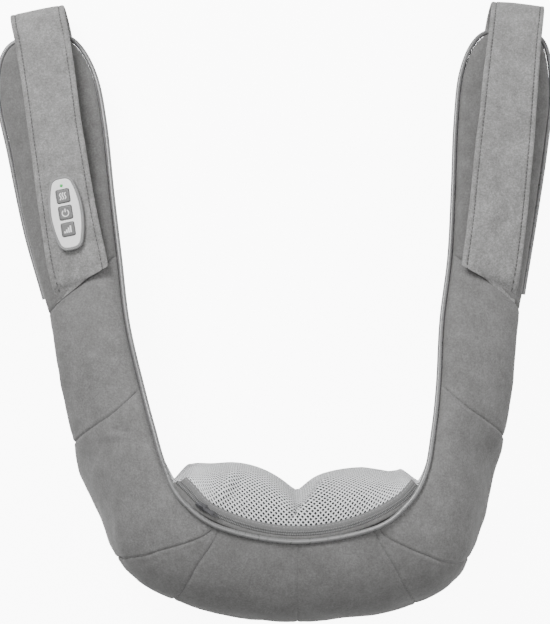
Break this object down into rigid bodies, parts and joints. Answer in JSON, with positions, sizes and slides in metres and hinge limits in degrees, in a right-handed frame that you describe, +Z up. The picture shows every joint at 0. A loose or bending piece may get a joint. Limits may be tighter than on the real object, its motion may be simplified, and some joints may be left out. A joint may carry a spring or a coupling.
{
  "type": "shiatsu neck massager",
  "caption": "U-shaped padded neck and shoulder massager with hand straps, a zipped mesh-covered kneading mechanism in its band and push-button controls on one strap.",
  "frame": {"origin": "on the flat face of the base panel, straight below the worm's axis", "axes": "+Y from the band towards the arm tips, +Z up from the base panel, +X to the right seen from above"},
  "size_m": [0.536, 0.5857, 0.1551],
  "materials": {
    "suede": "brushed microsuede",
    "suede_dark": "brushed microsuede",
    "air_mesh": "open air mesh",
    "satin_piping": "satin-covered piping",
    "zip_tape": "woven tape",
    "zip_coil": "moulded coil",
    "zip_metal": "satin plated",
    "foam": "open-cell foam",
    "housing_plastic": "moulded",
    "steel": "plain",
    "rotor_copper": "enamelled winding",
    "gear_plastic": "moulded acetal",
    "bush_brass": "plain",
    "node_rubber": "soft-touch",
    "lamp_red": "tinted lens",
    "board_green": "solder-masked board",
    "jack_black": "moulded",
    "cable_black": "flexible jacket",
    "bezel_grey": "satin moulded",
    "fascia_white": "satin moulded",
    "button_grey": "satin moulded",
    "led_green": "clear tinted"
  },
  "bodies": {
    "collar": {"corner_panel_left": "suede", "corner_panel_right": "suede", "arm_panel_left": "suede", "arm_panel_right": "suede", "strap_left": "suede", "strap_right": "suede", "back_panel_left": "suede_dark", "back_panel_right": "suede_dark", "gusset_left": "suede_dark", "gusset_right": "suede_dark", "pad_panel_left": "suede_dark", "pad_panel_right": "suede_dark", "base_panel": "suede_dark", "arm_lining_left": "air_mesh", "arm_lining_right": "air_mesh", "mesh_cover": "air_mesh", "piping_left": "satin_piping", "piping_right": "satin_piping", "zipper_tape": "zip_tape", "zipper_coil": "zip_coil", "arm_foam_left": "foam", "arm_foam_right": "foam", "back_foam": "foam", "rear_housing": "housing_plastic", "front_housing": "housing_plastic", "control_case": "housing_plastic", "motor_end_cap": "housing_plastic", "housing_screws": "steel", "motor_can": "steel", "motor_clamp": "steel", "jack_nut": "steel", "worm_bush": "bush_brass", "shaft_bushes": "bush_brass", "heat_lamps": "lamp_red", "main_board": "board_green", "control_board": "board_green", "dc_jack": "jack_black", "control_cable": "cable_black", "control_bezel": "bezel_grey", "control_fascia": "fascia_white", "led_lens": "led_green"},
    "left_head": {"left_worm_wheel": "gear_plastic", "left_output_shaft": "steel", "left_carrier": "housing_plastic", "left_carrier_screw": "steel", "left_large_nodes": "node_rubber", "left_small_nodes": "node_rubber"},
    "right_head": {"right_worm_wheel": "gear_plastic", "right_output_shaft": "steel", "right_carrier": "housing_plastic", "right_carrier_screw": "steel", "right_large_nodes": "node_rubber", "right_small_nodes": "node_rubber"},
    "worm_drive": {"worm": "gear_plastic", "motor_shaft": "steel", "motor_rotor": "rotor_copper"},
    "heat_button": {"button_heat": "button_grey"},
    "power_button": {"button_power": "button_grey"},
    "speed_button": {"button_speed": "button_grey"},
    "slider": {"zipper_slider": "zip_metal"}
  },
  "joints": [
    {"name": "left_head_spin", "type": "hinge", "parent": "collar", "child": "left_head", "pos_m": [-0.046, 0, 0.082], "axis": [0, 1, 0], "continuous": true},
    {"name": "right_head_spin", "type": "hinge", "parent": "collar", "child": "right_head", "pos_m": [0.046, 0, 0.082], "axis": [0, 1, 0], "continuous": true},
    {"name": "worm_spin", "type": "hinge", "parent": "collar", "child": "worm_drive", "pos_m": [0, 0, 0.082], "axis": [0, 0, 1], "continuous": true},
    {"name": "heat_press", "type": "slide", "parent": "collar", "child": "heat_button", "axis": [0.1839, -0.0887, -0.9789], "range_m": [0, 0.001], "stiffness_N_per_m": 800},
    {"name": "power_press", "type": "slide", "parent": "collar", "child": "power_button", "axis": [0.1839, -0.0887, -0.9789], "range_m": [0, 0.001], "stiffness_N_per_m": 800},
    {"name": "speed_press", "type": "slide", "parent": "collar", "child": "speed_button", "axis": [0.1839, -0.0887, -0.9789], "range_m": [0, 0.001], "stiffness_N_per_m": 800},
    {"name": "zipper_slide", "type": "hinge", "parent": "collar", "child": "slider", "pos_m": [0, 0.2, 0], "axis": [0, 0, 1], "range_deg": [0, 62]}
  ],
  "couplings": [
    {"joint": "right_head_spin", "follows": "left_head_spin", "ratio": -1},
    {"joint": "worm_spin", "follows": "left_head_spin", "ratio": 50}
  ]
}
